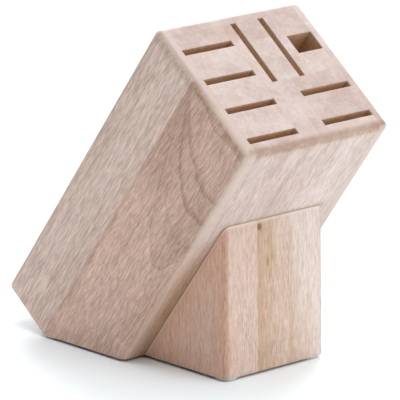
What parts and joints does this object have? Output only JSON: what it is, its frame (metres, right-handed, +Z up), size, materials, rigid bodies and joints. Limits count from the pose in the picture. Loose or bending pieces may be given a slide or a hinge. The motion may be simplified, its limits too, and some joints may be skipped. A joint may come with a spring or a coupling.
{
  "type": "knife block",
  "caption": "Leaning laminated wood knife block with a wedge foot, parallel knife slots, a rectangular sharpening-steel hole and clear bumpers.",
  "frame": {"origin": "on the worktop, under the middle of the bounding box", "axes": "+Z up, -Y the way the slot face leans out over the foot, X across the slot face"},
  "size_m": [0.127, 0.2504, 0.2364],
  "materials": {
    "wood_pale": "fine-sanded matt oil",
    "wood_pink": "fine-sanded matt oil",
    "wood_tan": "fine-sanded matt oil",
    "dowel_wood": "raw turned beech",
    "clear_rubber": "clear and slightly glossy"
  },
  "bodies": {
    "root": {"left_board_back": "wood_pale", "left_board_front": "wood_pink", "right_board_back": "wood_pale", "right_board_front": "wood_pink", "back_board_left": "wood_pink", "back_board_right": "wood_pink", "left_strip_1": "wood_pale", "left_strip_2": "wood_pale", "left_strip_3": "wood_pale", "left_strip_4": "wood_pale", "left_strip_5": "wood_pale", "left_divider": "wood_pale", "centre_divider_back": "wood_pink", "centre_divider_front": "wood_pale", "right_divider_back": "wood_pink", "right_divider_front": "wood_pale", "steel_strip_back": "wood_pink", "steel_strip_front": "wood_pale", "centre_block_back": "wood_pale", "centre_block_front": "wood_pink", "right_spine": "wood_pink", "right_strip_1": "wood_pale", "right_strip_2": "wood_pale", "right_strip_3": "wood_pale", "foot_left": "wood_pale", "foot_middle": "wood_tan", "foot_right": "wood_pale", "dowel_lower": "dowel_wood", "dowel_upper": "dowel_wood", "bumper_front_left": "clear_rubber", "bumper_front_right": "clear_rubber", "bumper_rear_left": "clear_rubber", "bumper_rear_right": "clear_rubber"}
  },
  "joints": []
}
